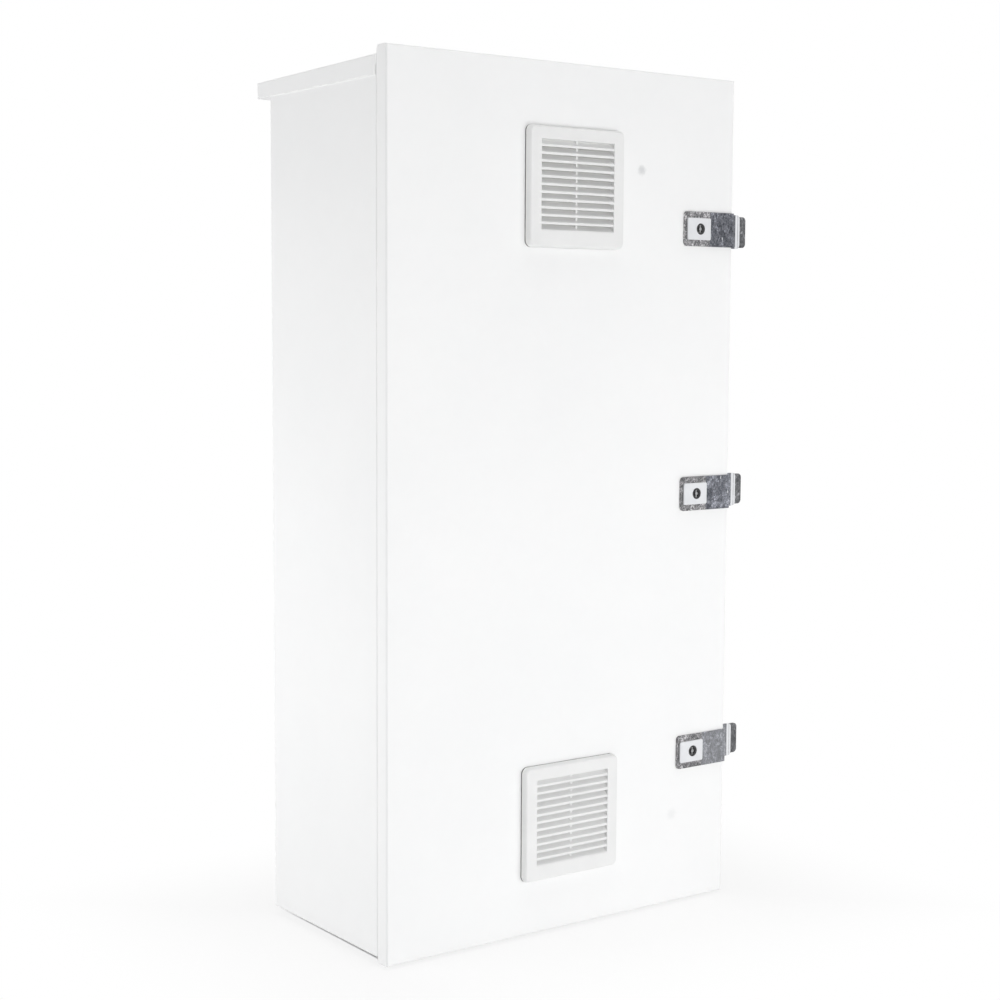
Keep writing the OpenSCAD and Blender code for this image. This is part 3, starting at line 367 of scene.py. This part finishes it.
def filter_mat():
    """Pale needled fibre: crossing strands, with painted shade in the open gaps between them."""
    t = Tree("filter_mat")
    # The darker tone of the gaps is painted shade.
    painted_gap_shade, fibre = (0.70, 0.70, 0.66), (0.92, 0.915, 0.88)
    long, short = 260.0, 1500.0
    along_x = t.noise(1.0, detail=3.0, roughness=0.6, vector=t.scaled(t.place, (long, long, short)))["Fac"]
    along_z = t.noise(1.0, detail=3.0, roughness=0.6, vector=t.scaled(t.place, (short, long, long)))["Fac"]
    strands = t.math("MAXIMUM", along_x, along_z)
    return t.set(
        Base_Color=t.mix(t.spread(strands, (0.42, 0.70)), painted_gap_shade, fibre),
        Roughness=t.spread(strands, (0.4, 0.7), (0.80, 0.95)),
        Normal=t.bump(strands, strength=0.7, distance=0.0012),
        Specular_IOR_Level=0.2,
    )


def dark_plastic():
    """Dark grey moulded plastic with a fine texture."""
    t = Tree("dark_plastic")
    dark, light = (0.050, 0.050, 0.055), (0.085, 0.085, 0.090)
    clouds = t.noise(scale=90.0, detail=3.0, roughness=0.6)["Fac"]
    grain = t.noise(scale=1600.0)["Fac"]
    return t.set(
        Base_Color=t.mix(t.spread(clouds, CLOUDY), dark, light),
        Roughness=t.spread(clouds, CLOUDY, (0.46, 0.60)),
        Normal=t.bump(grain, strength=0.15, distance=0.0002, under=t.soft_edges(0.0005)),
    )


def dress():
    """Gives each CAD node its material slot's finish, and some nodes a finish of their own."""
    finishes = {
        "white_paint": white_paint("white_paint"),
        "galvanised": galvanised("galvanised", dark=(0.16, 0.165, 0.18), light=(0.40, 0.41, 0.43)),
        "plated_steel": plated_steel(),
        "black_rubber": black_rubber(),
        "grille_plastic": grille_plastic(),
        "lock_plaque": lock_plaque(),
        "lock_black": lock_black(),
        "filter_mat": filter_mat(),
        "dark_plastic": dark_plastic(),
    }
    # Painted shade along the door's left fold, and painted highlights along sheet edges.
    painted_fold_shade, painted_edge_highlight = (0.60, 0.605, 0.61), (0.96, 0.96, 0.96)
    left, front, rear = DOOR_LOW.x, DOOR_LOW.y, DOOR_HIGH.y
    left_fold = ((X, left + 0.0028, left + 0.0012), (Y, front + 0.0028, front + 0.0012))
    rear_edge = ((X, left + 0.0014, left + 0.0004), (Y, rear - 0.0022, rear - 0.0012), (Z, 0.60, 1.00))
    skirt_edge = (
        (X, SKIRT_LOW.x + 0.004, SKIRT_LOW.x + 0.002),
        (Z, SKIRT_LOW.z + 0.0030, SKIRT_LOW.z + 0.0018),
    )
    door_bands = ((left_fold, 0.34, painted_fold_shade, False), (rear_edge, 0.9, painted_edge_highlight, True))
    roof_bands = ((skirt_edge, 0.9, painted_edge_highlight, True),)
    own_finish = {
        "door_panel": white_paint("white_paint_door", DOOR_MARKS, door_bands),
        "roof_cap": white_paint("white_paint_roof", (), roof_bands),
    }
    # The straps and keepers are darker copies of the galvanised finish: their tones are a painted darker
    # reflection.
    straps = galvanised("galvanised_strap", (0.058, 0.062, 0.072), (0.225, 0.232, 0.262), strap=True)
    keepers = galvanised("galvanised_keeper", (0.085, 0.088, 0.092), (0.235, 0.238, 0.250))
    for height in ("upper", "middle", "lower"):
        own_finish["hasp_" + height] = straps
        own_finish["keeper_" + height] = keepers
    for part in frame["record"]["subparts"]:
        skin = frame["nodes"][part["node"]].data.materials
        skin.clear()
        skin.append(own_finish.get(part["node"], finishes[part["material_slot"]]))


def studio_floor():
    """A wide pale floor: white further out, with the object's soft shadow near it and its full shade under it."""
    reach = 14.0
    corners = [(-reach, -reach, 0), (reach, -reach, 0), (reach, reach, 0), (-reach, reach, 0)]
    mesh = bpy.data.meshes.new("studio_floor")
    mesh.from_pydata(corners, [], [(0, 1, 2, 3)])
    floor = bpy.data.objects.new("studio_floor", mesh)
    bpy.context.scene.collection.objects.link(floor)
    t = Tree("studio_floor")
    tone = t.mix(t.noise(scale=2.0, detail=3.0)["Fac"], (0.91, 0.91, 0.91), (0.93, 0.93, 0.93))
    t.set(Base_Color=tone, Roughness=0.9, Specular_IOR_Level=0.1)
    # How far a point lies outside the cabinet's footprint.
    axes = t.axes()
    middle = (DOOR_LOW.y + BODY_HIGH.y) / 2.0
    beyond_x = t.math("SUBTRACT", t.math("ABSOLUTE", axes[X]), BODY_HIGH.x)
    from_middle = t.math("ABSOLUTE", t.math("SUBTRACT", axes[Y], middle))
    beyond = t.math("MAXIMUM", beyond_x, t.math("SUBTRACT", from_middle, BODY_HIGH.y - middle))
    # 0 under the cabinet and 1 beside, before and behind it. The line at the sides slants a little.
    slant = t.math("MULTIPLY", axes[Y], 0.0074)
    beside = t.spread(t.math("ADD", beyond_x, slant), (-0.0165, -0.0145), smooth=True)
    front_line = (-BODY_HIGH.y - 0.004, 0.010 - BODY_HIGH.y)
    rear_line = (BODY_HIGH.y - 0.070, BODY_HIGH.y + 0.050)
    before = t.spread(axes[Y], front_line, (1.0, 0.0), smooth=True)
    behind = t.spread(axes[Y], rear_line, smooth=True)
    open_floor = t.math("MAXIMUM", beside, t.math("MAXIMUM", before, behind))
    whiter = t.spread(beyond, (-0.02, 0.35), (0.82, 1.0), smooth=True)
    # The white of the backdrop, for the camera and for what metal or glass shows of it.
    path = t.add("ShaderNodeLightPath").outputs
    seen = t.math("MULTIPLY", path["Is Camera Ray"], t.math("MULTIPLY", open_floor, whiter))
    mirrored = t.math("MAXIMUM", path["Is Glossy Ray"], path["Is Transmission Ray"])
    glow = t.add("ShaderNodeEmission", Color=WHITE, Strength=1.0)
    join = t.add("ShaderNodeMixShader", Fac=t.math("MAXIMUM", seen, mirrored))
    t.links.new(t.shader.outputs[0], join.inputs[1])
    t.links.new(glow.outputs[0], join.inputs[2])
    t.links.new(join.outputs[0], t.nodes["Material Output"].inputs["Surface"])
    mesh.materials.append(t.material)


def studio_world(level):
    """Even soft light, with a white backdrop where the camera, metal or glass looks at it."""
    world = bpy.data.worlds.new("studio")
    bpy.context.scene.world = world
    world.use_nodes = True
    nodes, links = world.node_tree.nodes, world.node_tree.links
    soft = nodes["Background"]
    white = nodes.new("ShaderNodeBackground")
    for background, strength in ((soft, level), (white, 1.0)):
        background.inputs["Color"].default_value = WHITE
        background.inputs["Strength"].default_value = strength
    path = nodes.new("ShaderNodeLightPath").outputs
    seen = path["Is Camera Ray"]
    for other in ("Is Glossy Ray", "Is Transmission Ray"):
        either = nodes.new("ShaderNodeMath")
        either.operation = "MAXIMUM"
        links.new(seen, either.inputs[0])
        links.new(path[other], either.inputs[1])
        seen = either.outputs[0]
    join = nodes.new("ShaderNodeMixShader")
    links.new(seen, join.inputs[0])
    links.new(soft.outputs[0], join.inputs[1])
    links.new(white.outputs[0], join.inputs[2])
    links.new(join.outputs[0], nodes["World Output"].inputs["Surface"])


def soft_box(name, place, aim, size, watts):
    """A rectangular lamp that faces a point. Metal shows the white backdrop and not the lamp."""
    lamp = bpy.data.lights.new(name, "AREA")
    lamp.shape = "RECTANGLE"
    lamp.size, lamp.size_y = size
    lamp.energy = watts
    box = bpy.data.objects.new(name, lamp)
    box.location = place
    box.rotation_euler = (Vector(aim) - Vector(place)).to_track_quat("-Z", "Y").to_euler()
    box.visible_glossy = False
    bpy.context.scene.collection.objects.link(box)


def studio_camera():
    lens = bpy.data.cameras.new("camera")
    lens.sensor_width = CAMERA_SENSOR
    lens.lens = CAMERA_LENS
    lens.shift_x, lens.shift_y = CAMERA_SHIFT
    lens.clip_end = CAMERA_FAR
    camera = bpy.data.objects.new("camera", lens)
    turn = Matrix((CAMERA_RIGHT, -CAMERA_DOWN, -CAMERA_AHEAD)).transposed().to_4x4()
    camera.matrix_world = Matrix.Translation(CAMERA_PLACE) @ turn
    bpy.context.scene.collection.objects.link(camera)
    bpy.context.scene.camera = camera


dress()
studio_floor()
studio_world(level=0.28)
soft_box("key", place=(2.0, -3.2, 0.62), aim=(0.10, -0.15, 0.60), size=(2.4, 1.0), watts=17.5)
soft_box("fill", place=(-2.6, -4.4, 0.46), aim=(0.0, -0.15, 0.60), size=(2.2, 0.86), watts=72.0)
soft_box("left", place=(-1.70, 0.50, 0.48), aim=(-0.3, 0.0, 0.48), size=(0.8, 0.8), watts=10.2)
soft_box("low", place=(0.7, -1.9, 0.14), aim=(0.05, -0.15, 0.40), size=(1.8, 0.24), watts=8.2)
soft_box("top", place=(0.1, -0.8, 7.0), aim=(0.0, -0.3, 0.0), size=(4.0, 4.0), watts=180.0)
studio_camera()
bpy.context.scene.view_settings.view_transform = "Standard"
